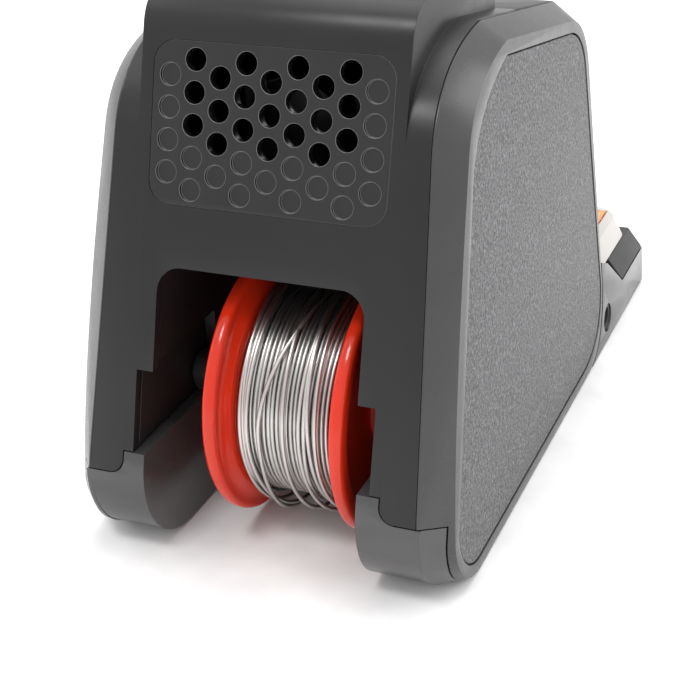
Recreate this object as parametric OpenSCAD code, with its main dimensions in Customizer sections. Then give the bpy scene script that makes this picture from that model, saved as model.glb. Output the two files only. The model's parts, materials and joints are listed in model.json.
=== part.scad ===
// Soldering iron station with a rear bay for a reel of solder wire.
// Millimetres. The rear leans over the bay and faces -Y, the nose faces +Y, +Z is up.
// Modules work in x, v and z: v is the distance forward of the line where the rear face
// meets the floor, and z is the height over the casing's underside.

/* [Casing] */
// Lean of the rear face, in degrees from upright
rear_lean = 16.93; // [16:0.01:18]
// Lean of the front face, in degrees from upright
front_lean = 9; // [8.5:0.1:9.5]
// Half of the casing's width at the floor
half_w = 45.7; // [45.2:0.1:46.2]
// Inward lean of each side, in degrees
side_tilt = 2.5; // [2.3:0.1:2.7]
// Distance from the rear floor line to the front of the nose
nose_v = 189; // [188:0.5:192]
// Radius of the rounded heel of each rear foot
heel_r = 19; // [18:0.5:20]
// Wall thickness of the casing
wall = 2.4; // [2.2:0.1:2.6]
// Gap left at the joints between casing pieces
gap = 0.3; // [0.25:0.05:0.4]

/* [Side covers] */
// Depth of the bevel around each side cover
bevel = 5.6; // [5.2:0.1:5.7]
// Depth of a side cover, from its outer face to its seam with the housing
cover_depth = 5.9; // [5.8:0.1:6.2]
// Thickness of the grained insert panel
insert_t = 1.1; // [0.9:0.1:1.3]

/* [Solder bay] */
// Half width of the bay's opening in the rear face
bay_hw = 24; // [23.5:0.1:24.5]
// Height of the bay's opening
bay_top = 67.6; // [66:0.1:69]
// Radius of the opening's upper corners
bay_r = 5.5; // [4:0.5:7]
// Half width between the bay's inner walls
liner_hw = 25.2; // [25:0.1:25.6]
// Distance forward to the bay's front wall
bay_v = 73.4; // [73:0.1:74]
// Half width between the ends of the two axle slots
slot_hw = 28; // [27.9:0.1:28.2]
// Height of the axle slot's floor
slot_z = 27.1; // [27:0.1:27.2]
// Height of the axle slot's roof
slot_top = 45.2; // [44:0.1:46]

/* [Reel and axle] */
// Radius of the reel's flanges
reel_r = 30.2; // [29:0.1:30.4]
// Width of the reel over its flanges
reel_w = 32.9; // [32:0.1:33.5]
// Place of the reel's middle across the bay
reel_x = 4.55; // [3:0.05:5]
// Distance forward to the reel's axis
reel_v = 40.8; // [40.8:0.1:41.5]
// Radius of the wound wire
winding_r = 24.5; // [20:0.1:25]
// Radius of the axle
axle_r = 4.8; // [4.6:0.1:5]

/* [Vent panel] */
// Hole pitch across the panel
hole_dx = 5.8; // [5.6:0.1:5.9]
// Row pitch up the panel
hole_ds = 3.39; // [3.3:0.01:3.45]
// Distance up the rear face to the lowest row
hole_s = 87.5; // [87.2:0.1:88]
// Hole radius
hole_r = 2.4; // [2:0.1:2.4]
// Number of rows
hole_rows = 9; // [7:1:9]
// Thickness of the vent panel
vent_t = 2.8; // [2.2:0.1:3]

/* [Controls] */
// Radius of the temperature knob
knob_r = 11; // [9:0.5:12]
// Width of the display window
display_w = 46; // [40:1:48]
// Height of the display window
display_h = 20; // [16:1:20]
// Travel of the preset buttons
button_travel = 1; // [0.6:0.1:1.2]
// Bore radius of the iron holder
holder_r = 10.2; // [9.5:0.1:10.4]

/* [Hidden] */
$fn = 64;
eps = 0.02;
far = 300;
foot_lift = 0.6;
seam = 0.12;
heel_v = heel_r * (1 / cos(rear_lean) + tan(rear_lean));
mid_v = (heel_v - heel_r + nose_v) / 2;
side_slope = tan(side_tilt);
core_hw = half_w - cover_depth - seam;
top_z = 123;
tower_hw = 30;
tower_v = 88;
tower_z = 80;
curve_z = 95;
brow = [62, 114];
crest = [114, 104.5];
chin = [131.4, 86];
front_v = chin[0] + chin[1] * tan(front_lean);
foot_top = 21.9;
foot_v = 34;
foot_r = 3.2;
foot_hw = 43.8;
rail_hw = 30.2;
reel_z = slot_z + axle_r;
deck_z = 23.2;
tray_z = 16.8;
trim_z = 10.6;
trim_v = 163.5;
nose_in = 39;
sponge_x = 16.7;
sponge_v = 170.8;
cup_x = -21;
cup_v = 170.5;
cup_r = 13;
tube_lean = 16.7;
tube_len = 46;
tube_wall = 0.8;
groove_r = 14.2;
bridge_z = 21;
tray_v = 155.8;
mouth_v = 88;
mouth_z = 107.5;
knob_x = 15;
socket_x = -16;
control_t = 36;
display_t = 74;
button_t = 54;
button_x = [-14, 0, 14];
button_size = [10, 5.4];
board_n = -9.2;
inlet_v = 145.5;
inlet_z = 7;
switch_v = 151;
switch_z = 8.4;
screw_v = [54, 70];
foot_pads = [[32, 27], [-32, 27], [33, 172], [-33, 172]];

// ---- Curves ----

function bez(a, b, c, n = 14) =
    [for (i = [0:n]) let(t = i / n) (1 - t) * (1 - t) * a + 2 * t * (1 - t) * b + t * t * c];
function arc(cv, cz, r, a0, a1, n = 14) =
    [for (i = [0:n]) let(a = a0 + (a1 - a0) * i / n) [cv + r * cos(a), cz + r * sin(a)]];
function rear_at(z) = z * tan(rear_lean);
function brow_z(v) = brow[1] + (v - brow[0]) * (crest[1] - brow[1]) / (crest[0] - brow[0]);
function front_at(z) = front_v - z * tan(front_lean);

// Outline of the casing between the bevels, from the heel over the top to the front
function core_line() = concat(
    arc(heel_v, heel_r, heel_r, 270, 180 - rear_lean),
    bez([rear_at(curve_z), curve_z], [rear_at(112.5), 112.5], brow),
    bez(crest, [128.5, 102], chin),
    [[front_at(24), 24]],
    bez([front_at(19), 19], [front_at(2), 0], [127, 0]));

// Outline of a side cover's flat outer face
function cover_line() = concat(
    arc(29, 15.5, 15.5, 270, 184),
    bez([13.6, 15], [16.8, 44], [34.5, 94]),
    bez([34.5, 94], [39.5, 108], [62, 110]),
    bez([112, 100.6], [125.5, 98], [128.3, 86]),
    bez([128.3, 86], [132.2, 58], [139.6, 20]),
    bez([139.6, 20], [140, 0], [124, 0]));

// Outline of a grained insert
function insert_line() = concat(
    arc(29, 15.5, 12.5, 270, 180),
    bez([36.7, 88], [42, 102], [62, 106.5]),
    bez([111, 97.6], [123, 95.5], [125.4, 85]),
    bez([126.2, 80.8], [131.1, 53.2], [138, 20.9]),
    bez([138, 20.9], [138.6, 3], [118, 3]));

// ---- Placing ----

module at_rest() { translate([0, -mid_v, foot_lift]) children(); }

// Extrudes a v, z outline from x0 to x1
module along_x(x0, x1) {
    translate([x0, 0, 0]) rotate([90, 0, 90]) linear_extrude(x1 - x0) children();
}

// Extrudes an x, z outline from v0 to v1
module along_v(v0, v1) {
    translate([0, v1, 0]) rotate([90, 0, 0]) linear_extrude(v1 - v0) children();
}

// Extrudes a v, z outline parallel to a side face, from depth d0 to d1 inside it
module side_slab(sgn, d0, d1) {
    translate([sgn * half_w, 0, 0]) rotate([0, -sgn * side_tilt, 0])
        translate([sgn > 0 ? -d1 : d0, 0, 0]) rotate([90, 0, 90])
            linear_extrude(d1 - d0) children();
}

// Frame on the rear face: x across, y up the face, z out of it
module on_rear() { rotate([90 - rear_lean, 0, 0]) children(); }

// Frame on the front face, as the user sees it: x to the right, y up, z out of it
module on_front() {
    translate([0, front_v, 0]) rotate([0, 0, 180]) rotate([90 - front_lean, 0, 0]) children();
}

// Frame at the holder's mouth: z runs up out of it, along the iron
module on_holder() {
    translate([0, mouth_v, mouth_z]) rotate([-(90 - tube_lean), 0, 0]) children();
}

module box(low, high) { translate(low) cube(high - low); }

module rounded(w, h, r) {
    square([w - 2 * r, h], center = true);
    square([w, h - 2 * r], center = true);
    for (i = [-1, 1], j = [-1, 1]) translate([i * (w / 2 - r), j * (h / 2 - r)]) circle(r);
}

// ---- Shared shapes ----

// Everything between the two side covers
module core_wedge() {
    low = core_hw;
    high = core_hw - side_slope * 140;
    along_v(-10, 160) polygon([[-low, 0], [low, 0], [high, 140], [-high, 140]]);
}

module bevel_solid(sgn, depth) {
    hull() {
        side_slab(sgn, 0, eps) polygon(cover_line());
        side_slab(sgn, bevel, depth) polygon(core_line());
    }
}

module below_floor() { box([-far, -far, -far], [far, far, 0]); }

module bay_outline() {
    translate([-bay_hw, -5]) square([2 * bay_hw, bay_top + 5 - bay_r]);
    translate([bay_r - bay_hw, 0]) square([2 * (bay_hw - bay_r), bay_top]);
    for (i = [-1, 1]) translate([i * (bay_hw - bay_r), bay_top - bay_r]) circle(bay_r);
}

module vent_outline(grow) {
    translate([0, (84 + 118.4) / 2]) rounded(54.2 + 2 * grow, 34.4 + 2 * grow, 5 + grow);
}

// ---- Casing ----

// Side view of a rear foot: its top is square to the rear face
function foot_side(grow) = let(v = foot_v + grow, fall = tan(rear_lean)) [
    [-10, -10], [-10, foot_top + grow + (10 + rear_at(foot_top)) * fall],
    [v, foot_top + grow - (v - rear_at(foot_top)) * fall], [v, -10]];

module foot_block(sgn) {
    inner = sgn > 0 ? rail_hw - 0.1 : -core_hw;
    outer = sgn > 0 ? core_hw - 1 : -foot_hw + gap;
    difference() {
        union() {
            along_x(inner, inner + core_hw - rail_hw + 0.1) intersection() {
                polygon(core_line());
                polygon(foot_side(0));
            }
            intersection() {
                bevel_solid(sgn, half_w - core_hw + 1);
                along_x(outer, outer + foot_hw - gap - core_hw + 1) polygon(foot_side(0));
            }
        }
        below_floor();
    }
}

// Fills the corner between a foot's top and its rail
module foot_corner(sgn) {
    x = rail_hw + gap + foot_r;
    intersection() {
        along_x(-far, far) polygon(core_line());
        along_v(-10, 12) difference() {
            translate([sgn * x - (sgn > 0 ? foot_r + gap + 0.1 : 0), foot_top - 2])
                square([foot_r + gap + 0.1, foot_r + 2]);
            translate([sgn * x, foot_top + gap + foot_r]) circle(foot_r + gap);
        }
    }
}

module bay_rail(sgn) {
    x0 = sgn > 0 ? liner_hw : -rail_hw;
    intersection() {
        along_x(x0, x0 + rail_hw - liner_hw) polygon(core_line());
        box([-far, 0, 0], [far, 76, slot_z]);
    }
}

module nose_wall(sgn) {
    difference() {
        side_slab(sgn, 0, 5.4)
            polygon([[126, 0], [nose_v, 0], [nose_v, trim_z], [trim_v, trim_z],
                     [146, 23.5], [138, 27], [130, 26]]);
        hull() {
            side_slab(sgn, -1, gap / 2) offset(delta = gap) polygon(cover_line());
            side_slab(sgn, bevel, 6) offset(delta = gap) polygon(core_line());
        }
        below_floor();
    }
}

module base_tray() {
    color([0.27, 0.27, 0.28]) at_rest() difference() {
        union() {
            for (sgn = [-1, 1]) {
                foot_block(sgn);
                foot_corner(sgn);
                bay_rail(sgn);
                nose_wall(sgn);
                box([sgn > 0 ? liner_hw : -core_hw + 0.6, foot_v - 1, 0],
                    [sgn > 0 ? core_hw - 0.6 : -liner_hw, 76, wall]);
            }
            box([-core_hw + 0.6, bay_v, 0], [core_hw - 0.6, 141, wall]);
            box([-half_w + 3, 140, 0], [half_w - 3, nose_v - 1, wall]);
            box([-half_w + 4, front_at(20) + gap, bridge_z - wall], [half_w - 4, 149.4, bridge_z]);
            box([-nose_in, 149, bridge_z - wall], [nose_in, tray_v - gap, bridge_z]);
            box([-liner_hw - 1, bay_v, 0], [liner_hw + 1, 76, slot_z]);
            box([-half_w + 0.6, nose_v - 2.6, 0], [half_w - 0.6, nose_v, trim_z]);
            for (x = [-29, 29], v = [84, 130]) translate([x, v, 0]) cylinder(h = 6, r = 2.6);
        }
        for (p = foot_pads) translate([p[0], p[1], -1]) cylinder(h = 2.2, r = 5.2);
        for (x = [-27.7, 27.7], v = screw_v) {
            translate([x, v, -1]) cylinder(h = 5, r = 2.1);
            translate([x, v, -1]) cylinder(h = 30, r = 1.3);
        }
        translate([half_w - 8, inlet_v, inlet_z]) rotate([0, 90, 0]) cylinder(h = 12, r = 4.1);
        box([-half_w - 2, switch_v - 7, switch_z - 4.2], [-half_w + 7, switch_v + 7, switch_z + 4.2]);
    }
}

// Skin of the columns on both sides of the tower, over the top as far as the tower's front
module column_skin(x0, x1) {
    in = wall / cos(rear_lean);
    z0 = foot_top + gap;
    along_x(x0, x1) polygon(concat(
        [[rear_at(z0), z0]],
        bez([rear_at(curve_z), curve_z], [rear_at(112.5), 112.5], brow),
        [[tower_v, brow_z(tower_v)], [tower_v, brow_z(tower_v) - wall]],
        bez(brow - [0, wall], [rear_at(112.5) + in + 0.6, 112.5 - wall],
            [rear_at(curve_z) + in, curve_z]),
        [[rear_at(z0) + in, z0]]));
}

// Rear plate and the block above it that surrounds the iron holder
module tower_solid() {
    in = wall / cos(rear_lean);
    z0 = foot_top + gap;
    along_x(-tower_hw, tower_hw) polygon(concat(
        [[rear_at(z0), z0]],
        bez([rear_at(115.6), 115.6], [rear_at(top_z), top_z], [47, top_z]),
        bez([78, top_z - 1.4], [86.5, top_z - 1.8], [tower_v, top_z - 10]),
        [[tower_v, tower_z - wall], [rear_at(tower_z - wall) + in, tower_z - wall],
         [rear_at(z0) + in, z0]]));
}

module tower_hollow() {
    in = wall / cos(rear_lean);
    along_x(-tower_hw + wall, tower_hw - wall) polygon(concat(
        [[rear_at(tower_z) + in, tower_z]],
        bez([rear_at(114) + in, 114], [rear_at(top_z - wall) + in, top_z - wall],
            [50, top_z - wall]),
        bez([77, top_z - wall - 1.6], [84, top_z - wall - 2], [tower_v - wall, top_z - 11]),
        [[tower_v - wall, tower_z]]));
}

// Clearance round a foot's rail, with the column's lower corner rounded
module notch_outline(sgn) {
    edge = sgn * (rail_hw + gap);
    z0 = foot_top + gap;
    translate([sgn > 0 ? 0 : edge, 0]) square([rail_hw + gap, slot_z + gap]);
    difference() {
        translate([sgn > 0 ? edge - 0.1 : edge - foot_r, z0 - 1]) square([foot_r + 0.1, foot_r + 1]);
        translate([edge + sgn * foot_r, z0 + foot_r]) circle(foot_r);
    }
}

module rear_housing() {
    color([0.22, 0.22, 0.23]) at_rest() difference() {
        intersection() {
            core_wedge();
            union() {
                column_skin(tower_hw, 40);
                column_skin(-40, -tower_hw);
                tower_solid();
            }
        }
        tower_hollow();
        along_v(-5, bay_v) bay_outline();
        box([-slot_hw, -5, 0], [slot_hw, 30, slot_top]);
        along_v(-5, 30) for (sgn = [-1, 1]) notch_outline(sgn);
        on_rear() translate([0, 0, -9]) linear_extrude(12) vent_outline(0.05);
        on_holder() translate([0, 0, -9]) cylinder(h = 20, r = 12.2);
    }
}

module bay_liner() {
    in = wall / cos(rear_lean) + gap;
    z0 = slot_z + gap;
    z1 = bay_top + wall;
    color([0.17, 0.17, 0.18]) at_rest() difference() {
        along_x(-rail_hw, rail_hw)
            polygon([[rear_at(z0) + in, z0], [rear_at(z1) + in, z1],
                     [76, z1], [76, z0]]);
        box([-liner_hw, -5, 0], [liner_hw, bay_v, bay_top]);
        box([-slot_hw, -5, 0], [slot_hw, reel_v + axle_r + 0.2, slot_top]);
        for (x = [-27.7, 27.7], v = screw_v) translate([x, v, 0]) cylinder(h = 38, r = 1.2);
    }
}

module vent_panel() {
    face = -0.2;
    color([0.2, 0.2, 0.21]) at_rest() on_rear() difference() {
        translate([0, 0, face - vent_t]) linear_extrude(vent_t) vent_outline(0);
        for (row = [0:hole_rows - 1], col = [row % 2 == 0 ? 2 : 1:2:9]) {
            depth = row >= 3 && col > 1 && col < 9 ? vent_t + 1 : 0.8;
            translate([(col - 5) * hole_dx, hole_s + row * hole_ds, face - depth])
                cylinder(h = depth + 1, r = hole_r, $fn = 32);
        }
    }
}

module side_cover(sgn) {
    color([0.25, 0.25, 0.26]) at_rest() difference() {
        bevel_solid(sgn, cover_depth);
        hull() {
            side_slab(sgn, insert_t + 2, insert_t + 2 + eps) offset(delta = -wall) polygon(cover_line());
            side_slab(sgn, cover_depth, cover_depth + 1) offset(delta = -wall) polygon(core_line());
        }
        side_slab(sgn, -1, insert_t) offset(delta = 0.4) polygon(insert_line());
        along_x(sgn > 0 ? 0 : -foot_hw, sgn > 0 ? foot_hw : 0) polygon(foot_side(gap));
        below_floor();
    }
}

module side_insert(sgn) {
    color([0.36, 0.36, 0.37]) at_rest() side_slab(sgn, 0.15, insert_t) polygon(insert_line());
}

module front_shell() {
    n = wall + gap;
    v0 = tower_v + gap;
    z0 = bridge_z + gap;
    top = concat([[v0, brow_z(v0)]], bez(crest, [128.5, 102], chin));
    color([0.22, 0.22, 0.23]) at_rest() difference() {
        union() {
            intersection() {
                core_wedge();
                along_x(-40, 40) polygon(concat(
                    top,
                    [[front_at(z0), z0], [front_at(z0) - wall, z0]],
                    bez(chin - [wall, 0], [126.4, 99.6], crest - [0, wall]),
                    [[v0, brow_z(v0) - wall]]));
            }
            intersection() {
                on_holder() translate([0, 0, -8]) cylinder(h = 48, r = groove_r + wall);
                along_x(-20, 20) polygon(concat(top, [[chin[0] - 12, 80], [v0, 80]]));
            }
        }
        on_holder() translate([0, 0, -12]) cylinder(h = 80, r = groove_r);
        on_front() translate([0, display_t, -n]) linear_extrude(n + 2)
            rounded(display_w + 0.4, display_h + 0.4, 2.2);
        on_front() for (x = button_x) translate([x, button_t, -n]) linear_extrude(n + 2)
            rounded(button_size[0] + 0.6, button_size[1] + 0.6, 1.8);
        on_front() translate([knob_x, control_t, -n]) cylinder(h = n + 2, r = 3.8);
        on_front() translate([socket_x, control_t, -n]) cylinder(h = n + 2, r = 7.9);
    }
}

// Dark bevelled trim around the nose
module nose_trim() {
    color([0.16, 0.16, 0.17]) at_rest() {
        for (sgn = [-1, 1]) along_v(trim_v + gap, nose_v)
            polygon([[sgn * 45.2, trim_z + gap], [sgn * 40.8, tray_z - 0.2],
                     [sgn * nose_in, tray_z - 0.2], [sgn * nose_in, trim_z + gap]]);
        box([-nose_in, nose_v - 2.4, trim_z + gap], [nose_in, nose_v, tray_z - 0.2]);
    }
}

module rubber_feet() {
    color([0.08, 0.08, 0.08]) at_rest()
        for (p = foot_pads) translate([p[0], p[1], -foot_lift]) cylinder(h = foot_lift + 1.2, r = 5);
}

module housing_screws() {
    color("silver") at_rest() for (x = [-27.7, 27.7], v = screw_v) translate([x, v, 2]) {
        difference() {
            cylinder(h = 2, r = 2);
            translate([0, 0, -1]) cylinder(h = 2, r = 1.1, $fn = 6);
        }
        cylinder(h = 33, r = 1.2);
    }
}

// ---- Iron holder ----

module holder_tube() {
    color("silver") at_rest() on_holder() translate([0, 0, -tube_len]) difference() {
        cylinder(h = tube_len, r = holder_r + tube_wall);
        translate([0, 0, -1]) cylinder(h = tube_len + 2, r = holder_r);
    }
}

module holder_collar() {
    outer = holder_r + tube_wall + eps;
    color([0.1, 0.1, 0.1]) at_rest() on_holder() rotate_extrude()
        polygon([[outer, -7], [12.1, -7], [12.1, 4.6], [13.8, 4.6], [13.8, 6], [13.2, 7.4],
                 [12.2, 7.4], [holder_r, 4], [holder_r, eps], [outer, eps]]);
}

module holder_cradle() {
    ring = holder_r + tube_wall;
    color([0.2, 0.2, 0.21]) at_rest() difference() {
        box([-15, 50, tower_z], [15, 54, 99]);
        on_holder() translate([0, 0, -tube_len - 20]) cylinder(h = tube_len + 40, r = ring + 0.1);
        box([-9.5, 45, 96], [9.5, 60, 110]);
    }
}

// ---- Display, knob and buttons ----

module display_window() {
    color([0.05, 0.06, 0.08]) at_rest() on_front() translate([0, display_t, -1.7])
        linear_extrude(1.5) rounded(display_w, display_h, 2);
}

module display_module() {
    color([0.3, 0.4, 0.36]) at_rest() on_front() translate([0, display_t, -7.5])
        linear_extrude(4.6) rounded(display_w + 4, display_h + 4, 1);
}

module control_board() {
    color([0.1, 0.35, 0.2]) at_rest() on_front() difference() {
        translate([-30, 26, board_n]) cube([60, 60, 1.6]);
        translate([socket_x, control_t, board_n - 1]) cylinder(h = 4, r = 8.6);
    }
}

module encoder_body() {
    color([0.6, 0.6, 0.6]) at_rest() on_front() translate([knob_x, control_t, 0]) difference() {
        union() {
            translate([-6, -6, board_n + 1.65]) cube([12, 12, 4.9]);
            translate([0, 0, -4]) cylinder(h = 5.4, r = 3.5);
        }
        translate([0, 0, board_n + 3.6]) cylinder(h = 20, r = 2.05);
    }
}

module encoder_shaft() {
    color([0.75, 0.75, 0.75]) at_rest() on_front() translate([knob_x, control_t, board_n + 3.8])
        cylinder(h = 13.4, r = 2);
}

module control_knob() {
    color([0.14, 0.14, 0.15]) at_rest() on_front() translate([knob_x, control_t, 1.9]) difference() {
        rotate_extrude() polygon([[0, 0], [knob_r, 0], [knob_r, 1.6], [knob_r - 0.8, 2.2],
                                  [knob_r - 1.2, 10.4], [knob_r - 2.2, 11.4], [0, 11.4]]);
        translate([0, 0, -1]) cylinder(h = 7.1, r = 2);
        translate([-0.5, 3, 10.9]) cube([1, 5.4, 2]);
    }
}

module preset_button(i) {
    color([0.3, 0.3, 0.31]) at_rest() on_front() translate([button_x[i], button_t, 0]) {
        translate([0, 0, -wall - 1.3]) linear_extrude(wall + 2.5)
            rounded(button_size[0], button_size[1], 1.5);
        translate([0, 0, -wall - 1.7]) linear_extrude(1.2)
            rounded(button_size[0] + 2, button_size[1] + 2, 1.5);
        translate([0, 0, -wall - 3]) cylinder(h = 2, r = 1.5);
    }
}

module preset_button_1() { preset_button(0); }
module preset_button_2() { preset_button(1); }
module preset_button_3() { preset_button(2); }

// ---- Sockets, switch and electronics ----

module handpiece_socket() {
    color([0.7, 0.7, 0.7]) at_rest() on_front() translate([socket_x, control_t, 0]) difference() {
        union() {
            cylinder(h = 1.8, r = 9.4);
            translate([0, 0, -14]) cylinder(h = 15, r = 7.7);
        }
        translate([0, 0, -7]) cylinder(h = 12, r = 6.2);
    }
}

module socket_pins() {
    color([0.85, 0.7, 0.3]) at_rest() on_front() translate([socket_x, control_t, -7])
        for (i = [0:4]) rotate([0, 0, 54 + i * 60]) translate([3.6, 0, 0]) cylinder(h = 3.6, r = 0.6);
}

module power_inlet() {
    color([0.1, 0.1, 0.1]) at_rest() translate([half_w - 9.6, inlet_v, inlet_z]) rotate([0, 90, 0])
        difference() {
            cylinder(h = 8.8, r = 4);
            translate([0, 0, 1]) cylinder(h = 12, r = 2.9);
        }
}

module inlet_pin() {
    color([0.85, 0.55, 0.45]) at_rest() translate([half_w - 8.6, inlet_v, inlet_z])
        rotate([0, 90, 0]) cylinder(h = 7, r = 1.4);
}

module power_switch() {
    color([0.08, 0.08, 0.08]) at_rest() difference() {
        box([-half_w + 0.1, switch_v - 6.8, switch_z - 4], [-half_w + 6.6, switch_v + 6.8, switch_z + 4]);
        box([-half_w - 2, switch_v - 5.6, switch_z - 3], [-half_w + 5.6, switch_v + 5.6, switch_z + 3]);
        translate([-half_w + 3, switch_v, switch_z - 3.6]) cylinder(h = 7.2, r = 1.05);
    }
}

// Modelled with its front end pressed in
module power_rocker() {
    tilt = 7;
    color([0.6, 0.08, 0.06]) at_rest() translate([-half_w + 3, switch_v, switch_z]) {
        translate([0, 0, -2.7]) rotate([0, 0, tilt]) linear_extrude(5.4)
            polygon([[-2.3, -4.9], [-1.6, 0], [-2.3, 4.9], [-0.2, 4.9], [1.9, 1.2], [1.9, -1.2],
                     [-0.2, -4.9]]);
        translate([0, 0, -3.4]) cylinder(h = 6.8, r = 1);
    }
}

module power_board() {
    color([0.12, 0.3, 0.16]) at_rest() difference() {
        box([-33, 79, 6.05], [33, 134, 7.65]);
        for (x = [-29, 29], v = [84, 130]) translate([x, v, 5]) cylinder(h = 4, r = 1.3);
    }
}

module transformer() {
    color([0.75, 0.65, 0.25]) at_rest() {
        box([-16, 90, 7.7], [14, 104, 31]);
        box([-12, 86, 10], [10, 90, 29]);
        box([-12, 104, 10], [10, 108, 29]);
    }
}

module board_parts() {
    color([0.15, 0.15, 0.17]) at_rest() {
        for (v = [88, 102, 116]) translate([25, v, 7.7]) cylinder(h = 20, r = 5);
        box([-30, 112, 7.7], [-20, 128, 22]);
        box([-12, 114, 7.7], [12, 117, 34]);
    }
}

// ---- Nose tray ----

module tray_plate(half, front, z) {
    translate([0, 0, z]) linear_extrude(eps) hull() {
        translate([-half, tray_v]) square([2 * half, 1]);
        for (i = [-1, 1]) translate([i * (half - 8), front - 8]) circle(8, $fn = 48);
    }
}

module tool_tray() {
    color([0.8, 0.78, 0.76]) at_rest() difference() {
        union() {
            hull() {
                tray_plate(40.6, nose_v - 0.4, tray_z);
                tray_plate(38.2, nose_v - 2.4, deck_z - eps);
            }
            box([-38.4, tray_v + 0.4, 6], [38.4, 186, tray_z + 1]);
        }
        box([-2, tray_v + 1.8, 8.5], [35.4, 184, 30]);
        translate([cup_x, cup_v, 8]) cylinder(h = 20, r = cup_r + 0.6);
    }
}

module sponge() {
    color([0.93, 0.5, 0.25]) at_rest() difference() {
        box([-1.6, tray_v + 2.2, 8.6], [35, 183.6, deck_z + 0.4]);
        translate([sponge_x, sponge_v, 8]) cylinder(h = 20, r = 4);
    }
}

module wool_cup() {
    color([0.12, 0.12, 0.13]) at_rest() translate([cup_x, cup_v, 8.3]) difference() {
        union() {
            cylinder(h = 18.8, r = cup_r);
            translate([0, 0, 15.3]) cylinder(h = 1.4, r = cup_r + 1.6);
        }
        translate([0, 0, 1.4]) cylinder(h = 20, r = cup_r - 1.4);
    }
}

module brass_wool() {
    color([0.8, 0.62, 0.25]) at_rest() translate([cup_x, cup_v, 9.8])
        cylinder(h = 16, r = cup_r - 1.7);
}

// ---- Solder reel ----

module on_reel() {
    translate([reel_x, reel_v, reel_z]) rotate([0, 90, 0]) children();
}

module spool_axle() {
    color([0.13, 0.13, 0.14]) at_rest() translate([0, reel_v, reel_z]) rotate([0, 90, 0])
        rotate_extrude() polygon([[0, -27.7], [4.1, -27.7], [axle_r, -27], [axle_r, 27], [4.1, 27.7],
                                  [0, 27.7]]);
}

function flange() = let(w = reel_w / 2, web = w - 5.4) [
    [axle_r + 0.08, w], [9, w], [9, w - 2], [25.4, w - 2], [26.4, w],
    [reel_r - 1.3, w], [reel_r - 0.4, w - 0.5], [reel_r, w - 1.4],
    [reel_r, w - 1.9], [reel_r - 0.4, w - 2.8], [reel_r - 1.3, w - 3.2],
    [27.4, w - 3.2], [24.6, web], [12, web]];

module solder_spool() {
    half = flange();
    back = [for (i = [len(half) - 1:-1:0]) [half[i][0], -half[i][1]]];
    color([0.85, 0.12, 0.08]) at_rest() on_reel() rotate_extrude($fn = 96) polygon(concat(half, back));
}

module solder_winding() {
    web = reel_w / 2 - 5.45;
    color([0.75, 0.75, 0.74]) at_rest() on_reel() rotate_extrude($fn = 96)
        polygon([[12.1, -web], [winding_r, -web], [winding_r, web], [12.1, web]]);
}

module side_cover_left() { side_cover(1); }
module side_cover_right() { side_cover(-1); }
module side_insert_left() { side_insert(1); }
module side_insert_right() { side_insert(-1); }

base_tray();
rear_housing();
bay_liner();
vent_panel();
side_cover_left();
side_cover_right();
side_insert_left();
side_insert_right();
front_shell();
nose_trim();
holder_tube();
holder_collar();
holder_cradle();
display_window();
display_module();
control_board();
control_knob();
encoder_shaft();
encoder_body();
preset_button_1();
preset_button_2();
preset_button_3();
handpiece_socket();
socket_pins();
power_inlet();
inlet_pin();
power_switch();
power_rocker();
power_board();
transformer();
board_parts();
tool_tray();
sponge();
wool_cup();
brass_wool();
spool_axle();
solder_spool();
solder_winding();
rubber_feet();
housing_screws();
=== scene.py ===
"""Looks of the soldering iron station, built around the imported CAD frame.

Metres, +Z up, rear face towards -Y.
"""
import json
import math
import random

import bmesh
import bpy
from mathutils import Matrix, Vector


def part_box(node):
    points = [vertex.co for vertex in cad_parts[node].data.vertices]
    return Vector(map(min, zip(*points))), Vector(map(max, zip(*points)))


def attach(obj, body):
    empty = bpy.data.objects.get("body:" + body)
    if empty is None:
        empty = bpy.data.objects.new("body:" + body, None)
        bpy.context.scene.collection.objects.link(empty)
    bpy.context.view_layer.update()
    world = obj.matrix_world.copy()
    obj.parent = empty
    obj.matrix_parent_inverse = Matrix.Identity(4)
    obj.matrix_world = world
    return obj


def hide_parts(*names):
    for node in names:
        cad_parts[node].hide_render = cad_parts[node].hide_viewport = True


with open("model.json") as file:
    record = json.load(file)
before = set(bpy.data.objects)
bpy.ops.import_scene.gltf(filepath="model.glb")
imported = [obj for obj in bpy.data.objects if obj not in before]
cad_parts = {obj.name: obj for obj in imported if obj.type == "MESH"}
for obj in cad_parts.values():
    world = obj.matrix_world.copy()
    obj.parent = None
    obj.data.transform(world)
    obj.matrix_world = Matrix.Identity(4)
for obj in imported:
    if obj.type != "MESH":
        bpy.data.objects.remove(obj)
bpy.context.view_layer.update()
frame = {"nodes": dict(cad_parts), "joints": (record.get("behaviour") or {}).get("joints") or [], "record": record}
SCENE = bpy.context.scene
MM = 0.001


# ---------- Camera, floor and light ----------

def make_camera():
    """The view from behind the station, a little to its left, looking down."""
    position = Vector((132.9, -337.1, 200.5)) * MM
    yaw, pitch, roll = (math.radians(a) for a in (23.496, 27.218, -2.639))
    data = bpy.data.cameras.new("camera")
    data.lens = 78.81
    data.sensor_width = 36.0
    data.clip_start = 0.01
    camera = bpy.data.objects.new("camera", data)
    turn = Matrix.Rotation(yaw, 4, "Z") @ Matrix.Rotation(math.pi / 2 - pitch, 4, "X")
    camera.matrix_world = Matrix.Translation(position) @ turn @ Matrix.Rotation(roll, 4, "Z")
    SCENE.collection.objects.link(camera)
    SCENE.camera = camera


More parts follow.
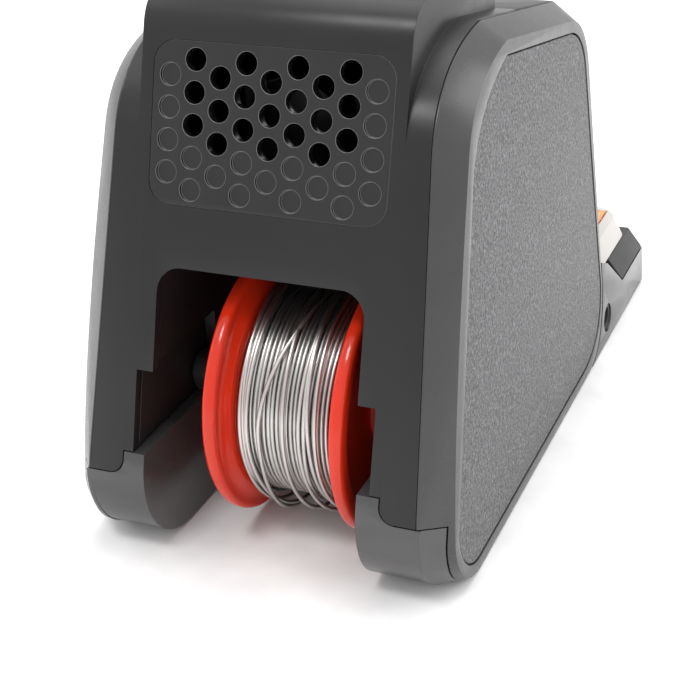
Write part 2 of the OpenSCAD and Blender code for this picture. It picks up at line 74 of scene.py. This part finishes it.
def area_light(name, place, size, power):
    """A soft rectangular light in metres and watts, aimed at the station's lower middle."""
    target = Vector((0, 0, 0.05))
    data = bpy.data.lights.new(name, "AREA")
    data.shape = "RECTANGLE"
    data.size, data.size_y = size
    data.energy = power
    light = bpy.data.objects.new(name, data)
    light.location = place
    light.rotation_euler = (target - Vector(place)).to_track_quat("-Z", "Y").to_euler()
    SCENE.collection.objects.link(light)


def make_studio():
    SCENE.view_settings.view_transform = "Standard"
    world = bpy.data.worlds.new("studio")
    SCENE.world = world
    world.use_nodes = True
    background = world.node_tree.nodes["Background"]
    background.inputs["Color"].default_value = (1, 1, 1, 1)
    background.inputs["Strength"].default_value = 1.0
    area_light("softbox_left", (-0.75, -0.05, 0.45), (0.5, 0.7), 1.5)
    area_light("softbox_right", (0.8, 0.35, 0.5), (0.6, 0.7), 4.5)
    area_light("softbox_top", (0.0, 0.25, 1.0), (0.8, 0.8), 4)
    area_light("softbox_rear", (-0.12, -0.55, 0.95), (0.3, 0.2), 3.2)
    bpy.ops.mesh.primitive_plane_add(size=6)
    floor = bpy.context.object
    floor.name = "floor"
    floor.data.materials.append(make_material("floor_paper", (0.92, 0.92, 0.92), 0.8))


# ---------- Materials ----------

class Nodes:
    """Small helper for building a node material."""

    def __init__(self, name):
        self.material = bpy.data.materials.new(name)
        self.material.use_nodes = True
        self.tree = self.material.node_tree
        self.shader = self.tree.nodes["Principled BSDF"]

    def add(self, kind, **settings):
        made = self.tree.nodes.new(kind)
        for key, value in settings.items():
            if key in made.inputs:
                made.inputs[key].default_value = value
            else:
                setattr(made, key, value)
        return made

    def link(self, out, into):
        self.tree.links.new(out, into)

    def coordinates(self):
        return self.add("ShaderNodeTexCoord").outputs["Object"]

    def noise(self, scale, detail=3.0, roughness=0.5, stretch=None):
        texture = self.add("ShaderNodeTexNoise", Scale=scale, Detail=detail, Roughness=roughness)
        source = self.coordinates()
        if stretch:
            mapping = self.add("ShaderNodeMapping")
            mapping.inputs["Scale"].default_value = stretch
            self.link(source, mapping.inputs["Vector"])
            source = mapping.outputs["Vector"]
        self.link(source, texture.inputs["Vector"])
        return texture.outputs["Fac"]

    def cells(self, scale, feature="F1"):
        texture = self.add("ShaderNodeTexVoronoi", Scale=scale, feature=feature)
        self.link(self.coordinates(), texture.inputs["Vector"])
        return texture.outputs["Distance"]

    def ramp(self, source, stops):
        ramp = self.add("ShaderNodeValToRGB")
        elements = ramp.color_ramp.elements
        while len(elements) < len(stops):
            elements.new(0.5)
        for element, (place, colour) in zip(elements, stops):
            element.position = place
            element.color = (*colour, 1)
        self.link(source, ramp.inputs["Fac"])
        return ramp.outputs["Color"]

    def spread(self, source, low, high):
        """Maps 0..1 to low..high."""
        mapped = self.add("ShaderNodeMapRange")
        mapped.inputs["To Min"].default_value = low
        mapped.inputs["To Max"].default_value = high
        self.link(source, mapped.inputs["Value"])
        return mapped.outputs["Result"]

    def bump(self, source, distance, strength=1.0, under=None):
        node = self.add("ShaderNodeBump", Strength=strength, Distance=distance)
        self.link(source, node.inputs["Height"])
        if under is not None:
            self.link(under, node.inputs["Normal"])
        return node.outputs["Normal"]


def shade(colour, factor):
    return tuple(min(1.0, c * factor) for c in colour)


def make_material(name, colour, roughness, grain=0.0, grain_scale=5000.0, vary=0.1,
                  roughness_vary=0.06, coat=0.0, specular=0.5):
    """Plastic, rubber or paint: cloudy colour and roughness, and a fine grain in metres."""
    n = Nodes(name)
    n.shader.inputs["Coat Weight"].default_value = coat
    n.shader.inputs["Specular IOR Level"].default_value = specular
    cloud = n.noise(40.0, 4.0)
    stops = [(0.3, shade(colour, 1 - vary)), (0.7, shade(colour, 1 + vary))]
    n.link(n.ramp(cloud, stops), n.shader.inputs["Base Color"])
    smear = n.noise(240.0, 3.0)
    n.link(n.spread(smear, roughness - roughness_vary, roughness + roughness_vary),
           n.shader.inputs["Roughness"])
    if grain:
        n.link(n.bump(n.noise(grain_scale, 2.0), grain), n.shader.inputs["Normal"])
    return n.material


def insert_material(name, colour):
    """Grey panel with an etched, pebbled grain."""
    n = Nodes(name)
    pebbles = n.cells(1100.0, "SMOOTH_F1")
    speck = n.noise(1500.0, 6.0, 0.75)
    stops = [(0.38, shade(colour, 0.2)), (0.5, shade(colour, 0.9)), (0.63, shade(colour, 2.6))]
    n.link(n.ramp(speck, stops), n.shader.inputs["Base Color"])
    n.link(n.spread(speck, 0.42, 0.62), n.shader.inputs["Roughness"])
    coarse = n.bump(pebbles, 0.0003, 0.9)
    n.link(n.bump(speck, 0.0002, 0.9, under=coarse), n.shader.inputs["Normal"])
    return n.material


def wire_material(name, colour):
    """Bright drawn tin wire with faint die lines and dull spots."""
    n = Nodes(name)
    n.shader.inputs["Metallic"].default_value = 1.0
    n.link(n.ramp(n.noise(160.0, 3.0), [(0.3, shade(colour, 0.82)), (0.7, colour)]),
           n.shader.inputs["Base Color"])
    n.link(n.spread(n.noise(250.0, 3.0), 0.24, 0.36), n.shader.inputs["Roughness"])
    n.link(n.bump(n.noise(1200.0, 2.0), 0.00001), n.shader.inputs["Normal"])
    return n.material


def reel_material(name, colour):
    """Glossy red moulded plastic that glows a little at thin edges."""
    n = Nodes(name)
    n.shader.inputs["Subsurface Weight"].default_value = 0.25
    n.shader.inputs["Subsurface Radius"].default_value = (0.004, 0.0012, 0.0006)
    n.shader.inputs["Subsurface Scale"].default_value = 1.0
    n.shader.inputs["Specular IOR Level"].default_value = 0.4
    n.link(n.ramp(n.noise(60.0, 3.0), [(0.3, shade(colour, 0.93)), (0.7, shade(colour, 1.06))]),
           n.shader.inputs["Base Color"])
    n.link(n.spread(n.noise(300.0, 3.0), 0.1, 0.18), n.shader.inputs["Roughness"])
    n.link(n.bump(n.noise(220.0, 2.0), 0.00006), n.shader.inputs["Normal"])
    return n.material


def brushed_material(name, colour, roughness, stretch):
    """Metal brushed along one axis: the noise is squeezed across it."""
    n = Nodes(name)
    n.shader.inputs["Metallic"].default_value = 1.0
    n.shader.inputs["Base Color"].default_value = (*colour, 1)
    streaks = n.noise(300.0, 4.0, 0.6, stretch)
    n.link(n.spread(streaks, roughness - 0.1, roughness + 0.12), n.shader.inputs["Roughness"])
    n.link(n.bump(streaks, 0.00003), n.shader.inputs["Normal"])
    return n.material


def sponge_material(name, colour):
    """Damp cellulose with painted shade: dark in the pores, light between them."""
    n = Nodes(name)
    pores = n.cells(700.0)
    # painted shade: the colour darkens towards each pore's centre and lightens between the pores
    n.link(n.ramp(pores, [(0.1, shade(colour, 0.35)), (0.45, colour), (0.9, shade(colour, 1.25))]),
           n.shader.inputs["Base Color"])
    n.shader.inputs["Roughness"].default_value = 0.95
    n.shader.inputs["Sheen Weight"].default_value = 0.3
    n.link(n.bump(pores, 0.0006, 0.9), n.shader.inputs["Normal"])
    return n.material


def board_material(name):
    """Green solder mask with faint copper runs under it."""
    n = Nodes(name)
    runs = n.add("ShaderNodeTexBrick", Scale=160.0)
    n.link(n.coordinates(), runs.inputs["Vector"])
    n.link(n.ramp(runs.outputs["Fac"], [(0.0, (0.01, 0.1, 0.035)), (1.0, (0.03, 0.2, 0.07))]),
           n.shader.inputs["Base Color"])
    n.shader.inputs["Roughness"].default_value = 0.32
    n.link(n.bump(runs.outputs["Fac"], 0.00004), n.shader.inputs["Normal"])
    return n.material


# Every material slot in the record
MATERIALS = {
    "housing_plastic": make_material("housing_plastic", (0.011, 0.0105, 0.011), 0.34, grain=0.00001,
                                     specular=0.39),
    "cover_plastic": make_material("cover_plastic", (0.04, 0.04, 0.0405), 0.28, grain=0.00001),
    "base_plastic": make_material("base_plastic", (0.04, 0.0395, 0.0405), 0.22, grain=0.00001,
                                  specular=0.75),
    "liner_plastic": make_material("liner_plastic", (0.012, 0.012, 0.0125), 0.4, grain=0.00002),
    "trim_plastic": make_material("trim_plastic", (0.022, 0.022, 0.0225), 0.5, grain=0.00003),
    "insert_grain": insert_material("insert_grain", (0.082, 0.082, 0.085)),
    "tray_plastic": make_material("tray_plastic", (0.5, 0.48, 0.46), 0.42, grain=0.00001, vary=0.03),
    "sponge_cellulose": sponge_material("sponge_cellulose", (0.9, 0.3, 0.1)),
    "reel_plastic": reel_material("reel_plastic", (0.6, 0.026, 0.007)),
    "solder_wire": wire_material("solder_wire", (0.6, 0.59, 0.575)),
    "axle_plastic": make_material("axle_plastic", (0.02, 0.02, 0.021), 0.3),
    "holder_steel": brushed_material("holder_steel", (0.05, 0.05, 0.052), 0.4, (1, 8, 1)),
    "collar_rubber": make_material("collar_rubber", (0.018, 0.018, 0.018), 0.7, grain=0.00003),
    "display_glass": make_material("display_glass", (0.006, 0.007, 0.01), 0.07, coat=0.5,
                                   roughness_vary=0.02),
    "knob_plastic": make_material("knob_plastic", (0.022, 0.022, 0.023), 0.55, grain=0.00003),
    "button_plastic": make_material("button_plastic", (0.14, 0.14, 0.145), 0.45, grain=0.00002),
    "rocker_plastic": make_material("rocker_plastic", (0.45, 0.012, 0.01), 0.24),
    "switch_plastic": make_material("switch_plastic", (0.014, 0.014, 0.014), 0.36),
    "connector_metal": brushed_material("connector_metal", (0.68, 0.67, 0.65), 0.24, (6, 1, 6)),
    "contact_metal": brushed_material("contact_metal", (0.92, 0.6, 0.45), 0.28, (2, 1, 2)),
    "board_laminate": board_material("board_laminate"),
    "component_plastic": make_material("component_plastic", (0.03, 0.03, 0.033), 0.4),
    "coil_core": make_material("coil_core", (0.4, 0.3, 0.06), 0.42, grain=0.00006, grain_scale=900.0),
    "cup_metal": make_material("cup_metal", (0.025, 0.025, 0.026), 0.34, coat=0.3, grain=0.00003,
                               grain_scale=2000.0),
    "brass_shavings": brushed_material("brass_shavings", (0.85, 0.6, 0.2), 0.25, (1, 1, 1)),
    "foot_rubber": make_material("foot_rubber", (0.015, 0.015, 0.015), 0.75, grain=0.00005),
    "screw_steel": brushed_material("screw_steel", (0.55, 0.55, 0.56), 0.3, (1, 1, 4)),
}
SLOT_OF = {part["node"]: part["material_slot"] for part in frame["record"]["subparts"]}
BODY_OF = {node: body for body, nodes in frame["record"]["behaviour"]["bodies"].items()
           for node in nodes}


def paint_cad_nodes():
    for name, obj in frame["nodes"].items():
        obj.data.materials.clear()
        obj.data.materials.append(MATERIALS[SLOT_OF[name]])


# ---------- Making pieces ----------

def smooth_by_angle(mesh, degrees=35):
    """Smooth faces, with a sharp edge wherever the surface turns by more than the angle."""
    mesh.polygons.foreach_set("use_smooth", [True] * len(mesh.polygons))
    bm = bmesh.new()
    bm.from_mesh(mesh)
    limit = math.radians(degrees)
    for edge in bm.edges:
        edge.smooth = len(edge.link_faces) == 2 and edge.calc_face_angle(0) < limit
    bm.to_mesh(mesh)
    bm.free()


def add_piece(name, mesh, node, slot_name=None, replaced=None, material=None):
    """Puts a mesh in the scene as a piece that rides with a CAD node's body."""
    obj = bpy.data.objects.new(name, mesh)
    SCENE.collection.objects.link(obj)
    slot_name = slot_name or SLOT_OF[node]
    mesh.materials.clear()
    mesh.materials.append(material or MATERIALS[slot_name])
    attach(obj, BODY_OF[node])
    if replaced:
        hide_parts(*replaced)
    return obj


def apply_modifiers(obj):
    """Swaps an object's mesh for the one that its modifiers give."""
    graph = bpy.context.evaluated_depsgraph_get()
    made = bpy.data.meshes.new_from_object(obj.evaluated_get(graph))
    obj.modifiers.clear()
    obj.data = made


def soften(node, width, material=None, rim=None):
    """Stands in for a CAD node with a copy whose sharp edges are rounded; rim paints the edges."""
    mesh = frame["nodes"][node].data.copy()
    bm = bmesh.new()
    bm.from_mesh(mesh)
    bmesh.ops.remove_doubles(bm, verts=bm.verts, dist=2e-6)
    bmesh.ops.dissolve_limit(bm, angle_limit=math.radians(0.6), verts=bm.verts, edges=bm.edges)
    bm.to_mesh(mesh)
    bm.free()
    obj = add_piece(node + "_shell", mesh, node, replaced=[node], material=material)
    bevel = obj.modifiers.new("round", "BEVEL")
    bevel.width = width
    bevel.segments = 3
    bevel.limit_method = "ANGLE"
    bevel.angle_limit = math.radians(28)
    bevel.use_clamp_overlap = True
    if rim:
        obj.data.materials.append(rim)
        bevel.material = len(obj.data.materials) - 1
    apply_modifiers(obj)
    smooth_by_angle(obj.data, 40)


def lathe_mesh(name, profile, centre, axis, segments=96, closed=False):
    """Turns a profile of (radius, distance along the axis) points about an axis, in metres."""
    turn = Vector((0, 0, 1)).rotation_difference(Vector(axis)).to_matrix()
    bm = bmesh.new()
    rings = []
    for radius, along in profile:
        if radius < 1e-7:
            rings.append([bm.verts.new(turn @ Vector((0, 0, along)) + Vector(centre))])
            continue
        ring = []
        for i in range(segments):
            a = 2 * math.pi * i / segments
            spot = Vector((radius * math.cos(a), radius * math.sin(a), along))
            ring.append(bm.verts.new(turn @ spot + Vector(centre)))
        rings.append(ring)
    pairs = list(zip(rings, rings[1:]))
    if closed:
        pairs.append((rings[-1], rings[0]))
    for low, high in pairs:
        for i in range(segments):
            j = (i + 1) % segments
            corners = [low[i % len(low)], low[j % len(low)], high[j % len(high)], high[i % len(high)]]
            unique = list(dict.fromkeys(corners))
            if len(unique) > 2:
                bm.faces.new(unique)
    bmesh.ops.recalc_face_normals(bm, faces=bm.faces)
    mesh = bpy.data.meshes.new(name)
    bm.to_mesh(mesh)
    bm.free()
    smooth_by_angle(mesh, 32)
    return mesh


def round_corners(points, radius, steps=4):
    """Replaces each inner corner of a closed (r, z) outline with an arc-like curve."""
    out = []
    count = len(points)
    for i, point in enumerate(points):
        here = Vector(point)
        before, after = Vector(points[i - 1]), Vector(points[(i + 1) % count])
        back, ahead = before - here, after - here
        cut = min(radius, back.length * 0.45, ahead.length * 0.45)
        start, end = here + back.normalized() * cut, here + ahead.normalized() * cut
        for k in range(steps + 1):
            t = k / steps
            out.append((1 - t) ** 2 * start + 2 * t * (1 - t) * here + t * t * end)
    return [(p[0], p[1]) for p in out]


def tube_mesh(name, paths, radius, sides=8, closed=False):
    """Sweeps a round section along each path of points. Open ends are capped."""
    bm = bmesh.new()
    for path in paths:
        count = len(path)
        rings = []
        normal = None
        for i, point in enumerate(path):
            if closed:
                ahead = (path[(i + 1) % count] - path[i - 1]).normalized()
            else:
                ahead = (path[min(i + 1, count - 1)] - path[max(i - 1, 0)]).normalized()
            if normal is None:
                normal = ahead.orthogonal().normalized()
            normal = (normal - ahead * normal.dot(ahead)).normalized()
            side = ahead.cross(normal)
            rings.append([bm.verts.new(point + radius * (math.cos(a) * normal + math.sin(a) * side))
                          for a in (2 * math.pi * k / sides for k in range(sides))])
        for i in range(count if closed else count - 1):
            low, high = rings[i], rings[(i + 1) % count]
            for k in range(sides):
                bm.faces.new((low[k], low[(k + 1) % sides], high[(k + 1) % sides], high[k]))
        if not closed:
            bm.faces.new(rings[0][::-1])
            bm.faces.new(rings[-1])
    bmesh.ops.recalc_face_normals(bm, faces=bm.faces)
    mesh = bpy.data.meshes.new(name)
    bm.to_mesh(mesh)
    bm.free()
    mesh.polygons.foreach_set("use_smooth", [True] * len(mesh.polygons))
    return mesh


# ---------- Casing ----------

# How wide each moulded piece's edges are rounded, in mm
EDGE_WIDTHS = {
    "base_tray": 0.7, "rear_housing": 0.6, "bay_liner": 0.4, "vent_panel": 0.3,
    "side_cover_left": 0.6, "side_cover_right": 0.6, "side_insert_left": 0.2,
    "side_insert_right": 0.2, "front_shell": 0.6, "nose_trim": 0.4, "tool_tray": 0.8,
    "display_window": 0.3, "preset_button_1": 0.5, "preset_button_2": 0.5,
    "preset_button_3": 0.5, "power_switch": 0.3, "power_rocker": 0.5,
    "handpiece_socket": 0.3, "holder_collar": 0.4, "holder_tube": 0.2,
    "spool_axle": 0.3, "power_inlet": 0.25,
}


def make_casing():
    """Rounds the edges of the hard pieces; the vent panel's bevelled edges and hole rims get a lighter grey, a
    painted highlight.
    """
    glossier = make_material("vent_plastic", (0.0095, 0.0093, 0.0095), 0.2, grain=0.00001)
    # painted highlight: a much lighter grey on the vent panel's bevelled edges and hole rims stands in for light
    # catching them
    painted_rim_highlight = make_material("vent_rim_painted_highlight", (0.13, 0.128, 0.13), 0.22, grain=0.00001)
    for node, width in EDGE_WIDTHS.items():
        if node == "vent_panel":
            soften(node, width * MM, glossier, painted_rim_highlight)
        else:
            soften(node, width * MM)


# ---------- Solder reel ----------

def make_reel():
    """The red reel, turned in one piece: rounded flange rims, dished flanges and a hub."""
    low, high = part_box("solder_spool")
    centre = (low + high) / 2
    radius = (high.z - low.z) / 2
    half = (high.x - low.x) / 2
    rim, inner = 3.2 * MM, 5.4 * MM
    bore, hub = 4.9 * MM, 12 * MM
    side = [(bore, half), (9 * MM, half), (9 * MM, half - 2 * MM), (radius - 5.2 * MM, half - 2 * MM),
            (radius - 4.2 * MM, half), (radius, half), (radius, half - rim),
            (radius - 2.8 * MM, half - rim), (radius - 5.8 * MM, half - inner), (hub, half - inner)]
    outline = side + [(r, -z) for r, z in reversed(side)]
    profile = round_corners(outline, 1.5 * MM, 5)
    mesh = lathe_mesh("reel", profile, centre, (1, 0, 0), 160, closed=True)
    add_piece("reel", mesh, "solder_spool", replaced=["solder_spool"])


def ease(t):
    """Runs from 0 to 1 with a soft start and end."""
    return t * t * (3 - 2 * t)


# Slack turns: place across the winding, in mm, above, on the side that faces out and below, and the sag
SLACK_TURNS = ((2.4, -5.2, -6.0, 4.8), (-9.2, -9.6, -7.6, 2.6), (-7.2, -8.0, -4.6, 3.2),
               (0.2, 0.6, 1.8, 3.2), (5.4, 4.4, 6.6, 2.8), (7.6, 8.2, 9.4, 1.4))


def make_winding():
    """Turns of wire laid side by side in two layers, with stray turns over them and slack ones below."""
    low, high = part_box("solder_winding")
    centre = (low + high) / 2
    outer = (high.z - low.z) / 2
    wire = 1.0 * MM
    half = (high.x - low.x) / 2 - wire / 2
    rng = random.Random(7)
    turn_steps, stray_steps, slack_steps = 72, 96, 120
    turns = int(2 * half / (wire * 1.02))

    def spot(x, r, a, drop=0.0):
        return Vector((centre.x + x, centre.y + r * math.sin(a), centre.z + r * math.cos(a) - drop))

    layers = []
    for layer in range(2):
        base = outer - wire / 2 - (1 - layer) * wire * 0.82 - 0.4 * MM
        path = []
        drift = [rng.uniform(-0.1, 0.1) * wire for _ in range(turns + 3)]
        swell = [rng.uniform(-0.1, 0.1) * wire for _ in range(turns + 3)]
        for i in range(turns * turn_steps + 1):
            t = i / turn_steps
            k, f = int(t), t - int(t)
            f = ease(f)
            x = -half + 2 * half * t / turns + drift[k] * (1 - f) + drift[k + 1] * f
            x = x if layer else -x
            wobble = swell[k] * (1 - f) + swell[k + 1] * f
            path.append(spot(x, base + wobble, 2 * math.pi * t))
        layers.append(path)
    stray = []
    for k in range(4):
        start = rng.uniform(-0.85, 0.5) * half
        lean = rng.uniform(1.2, 3.2) * wire * rng.choice((-1, 1))
        phase = rng.uniform(0, 2 * math.pi)
        lift = outer + wire * 0.35 + 0.02 * MM * k
        stray.append([spot(max(-half, min(half, start + lean * math.sin((a + phase) / 2) ** 2)),
                           lift, a)
                      for a in (2 * math.pi * i / stray_steps for i in range(stray_steps))])
    slack = []
    for above, before, below, drop in SLACK_TURNS:
        marks = (above, before, below, above)
        loop = []
        for i in range(slack_steps):
            a = 2 * math.pi * i / slack_steps
            quarter = i / slack_steps * 4
            t = min(quarter, 2 + max(0.0, quarter - 2) / 2)
            k, f = int(t), t - int(t)
            f = ease(f)
            x = marks[k] * (1 - f) + marks[k + 1] * f
            under = max(0.0, -math.cos(a)) ** 1.5
            loop.append(spot(x * MM, outer + wire * 0.45, -a, drop * MM * under))
        slack.append(loop)
    mesh = tube_mesh("winding", layers, wire / 2, 8)
    add_piece("solder_turns", mesh, "solder_winding", replaced=["solder_winding"])
    loops = tube_mesh("loose", stray + slack, wire / 2, 8, closed=True)
    add_piece("solder_loose_turns", loops, "solder_winding")
    edge = half + wire / 2
    outside, inside = outer - 2.2 * wire, 12.05 * MM
    core = [(outside, -edge), (outside, edge), (inside, edge), (inside, -edge)]
    mesh = lathe_mesh("core", core, centre, (1, 0, 0), 96, closed=True)
    add_piece("solder_core", mesh, "solder_winding")


# ---------- Knob ----------

def make_knob():
    """The ribbed knob, centred on its own joint, with a pale pointer dot on its face."""
    turn = next(joint for joint in frame["joints"] if joint["name"] == "knob_turn")
    axis = Vector(turn["axis"]).normalized()
    centre = Vector(turn["pos_m"]) + axis * 1.9 * MM
    ribs, per_rib = 30, 6
    bm = bmesh.new()
    up = Vector((0, 0, 1)).rotation_difference(axis).to_matrix()
    profile = round_corners([(0.0001, 0), (11, 0), (11, 1.8), (10.1, 2.4), (9.7, 10.6), (9.0, 11.4),
                             (7.8, 11.4), (7.4, 10.9), (0.0001, 10.9)], 0.5, 3)
    rings = []
    count = ribs * per_rib
    for r, z in profile:
        ring = []
        for i in range(count):
            a = 2 * math.pi * i / count
            ribbed = 2.3 < z < 10.9 and r > 8.8
            cut = 0.32 * (0.5 + 0.5 * math.cos(ribs * a)) if ribbed else 0.0
            spot = Vector(((r - cut) * math.cos(a), (r - cut) * math.sin(a), z)) * MM
            ring.append(bm.verts.new(centre + up @ spot))
        rings.append(ring)
    for low, high in zip(rings, rings[1:] + rings[:1]):
        for i in range(count):
            j = (i + 1) % count
            bm.faces.new((low[i], low[j], high[j], high[i]))
    bmesh.ops.recalc_face_normals(bm, faces=bm.faces)
    mesh = bpy.data.meshes.new("knob")
    bm.to_mesh(mesh)
    bm.free()
    smooth_by_angle(mesh, 40)
    add_piece("knob", mesh, "control_knob", replaced=["control_knob"])
    pointer = lathe_mesh("pointer", round_corners([(0.0001, 0), (0.8, 0), (0.8, 0.35), (0.0001, 0.35)],
                                                  0.12, 3), (0, 0, 0), (0, 0, 1), 24)
    pointer.transform(Matrix.Scale(MM, 4))
    pointer.transform(Matrix.Translation(centre + axis * 10.8 * MM + up @ Vector((0, 5.4, 0)) * MM)
                      @ up.to_4x4())
    add_piece("knob_pointer", pointer, "control_knob", slot_name="tray_plastic")


# ---------- Nose tray ----------

def make_sponge():
    """The tip-cleaning sponge, pitted with pores inside its CAD box."""
    low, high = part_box("sponge")
    mesh = frame["nodes"]["sponge"].data.copy()
    obj = add_piece("sponge_pad", mesh, "sponge", replaced=["sponge"])
    remesh = obj.modifiers.new("remesh", "REMESH")
    remesh.mode = "VOXEL"
    remesh.voxel_size = 0.45 * MM
    apply_modifiers(obj)
    pores = bpy.data.textures.new("pores", "VORONOI")
    pores.noise_scale = 0.0016
    displace = obj.modifiers.new("pores", "DISPLACE")
    displace.texture = pores
    displace.texture_coords = "LOCAL"
    displace.mid_level = 0.75
    displace.strength = 0.7 * MM
    apply_modifiers(obj)
    for vertex in obj.data.vertices:
        for k in range(3):
            vertex.co[k] = max(low[k] + 1e-5, min(high[k] - 1e-5, vertex.co[k]))
    smooth_by_angle(obj.data, 60)


def make_wool():
    """Curled brass shavings over a heap that fills the cup below them."""
    low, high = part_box("brass_wool")
    centre = (low + high) / 2
    radius = (high.x - low.x) / 2
    rng = random.Random(11)
    curls = []
    for _ in range(110):
        reach = radius * 0.86 * math.sqrt(rng.random())
        a = rng.uniform(0, 2 * math.pi)
        top = high.z - 1.4 * MM - 2.6 * MM * rng.random()
        spot = Vector((centre.x + reach * math.cos(a), centre.y + reach * math.sin(a), top))
        curl = rng.uniform(1.1, 2.2) * MM
        tilt = Matrix.Rotation(rng.uniform(-1.2, 1.2), 3, "X")
        tilt = tilt @ Matrix.Rotation(rng.uniform(0, 6.28), 3, "Z")
        path = []
        for i in range(30):
            b = 2 * math.pi * i / 14
            step = tilt @ Vector((curl * math.cos(b), curl * math.sin(b), 0.1 * MM * i - 1.4 * MM))
            point = spot + step
            flat = Vector((point.x - centre.x, point.y - centre.y, 0))
            if flat.length > radius - 0.3 * MM:
                point -= flat.normalized() * (flat.length - radius + 0.3 * MM)
            point.z = min(point.z, high.z - 0.3 * MM)
            path.append(point)
        curls.append(path)
    mesh = tube_mesh("shavings", curls, 0.2 * MM, 5)
    add_piece("brass_shavings", mesh, "brass_wool", replaced=["brass_wool"])
    tall = (high.z - low.z) / MM
    heap = [(0.0001, 0), (radius / MM, 0), (radius / MM, tall - 6), (radius / MM * 0.8, tall - 3.6),
            (0.0001, tall - 2.8)]
    mesh = lathe_mesh("heap", round_corners(heap, 1.5, 5), (0, 0, 0), (0, 0, 1), 72, closed=True)
    for vertex in mesh.vertices:
        dent = math.sin(vertex.co.x * 2.1) * math.sin(vertex.co.y * 2.4 + 1)
        vertex.co.z += 0.5 * dent if vertex.co.z > tall - 7 else 0
    mesh.transform(Matrix.Translation((centre.x, centre.y, low.z)) @ Matrix.Scale(MM, 4))
    add_piece("brass_heap", mesh, "brass_wool")


def make_cup():
    """The cup, with a lip that rests on the tray."""
    low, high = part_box("wool_cup")
    centre = Vector(((low.x + high.x) / 2, (low.y + high.y) / 2, low.z))
    lip = (high.x - low.x) / 2
    tall = high.z - low.z
    cup_r, wall = lip - 1.6 * MM, 1.2 * MM
    outline = [(0.00001, 0), (cup_r, 0), (cup_r, 15.3 * MM), (lip, 15.5 * MM), (lip, 16.6 * MM),
               (cup_r, 16.8 * MM), (cup_r - 0.2 * MM, tall), (cup_r - wall, tall),
               (cup_r - wall - 0.2 * MM, 1.4 * MM), (0.00001, 1.4 * MM)]
    mesh = lathe_mesh("cup", round_corners(outline, 0.5 * MM, 4), centre, (0, 0, 1), 96, closed=True)
    add_piece("cup", mesh, "wool_cup", replaced=["wool_cup"])


make_camera()
make_studio()
paint_cad_nodes()
make_casing()
make_reel()
make_winding()
make_knob()
make_sponge()
make_wool()
make_cup()
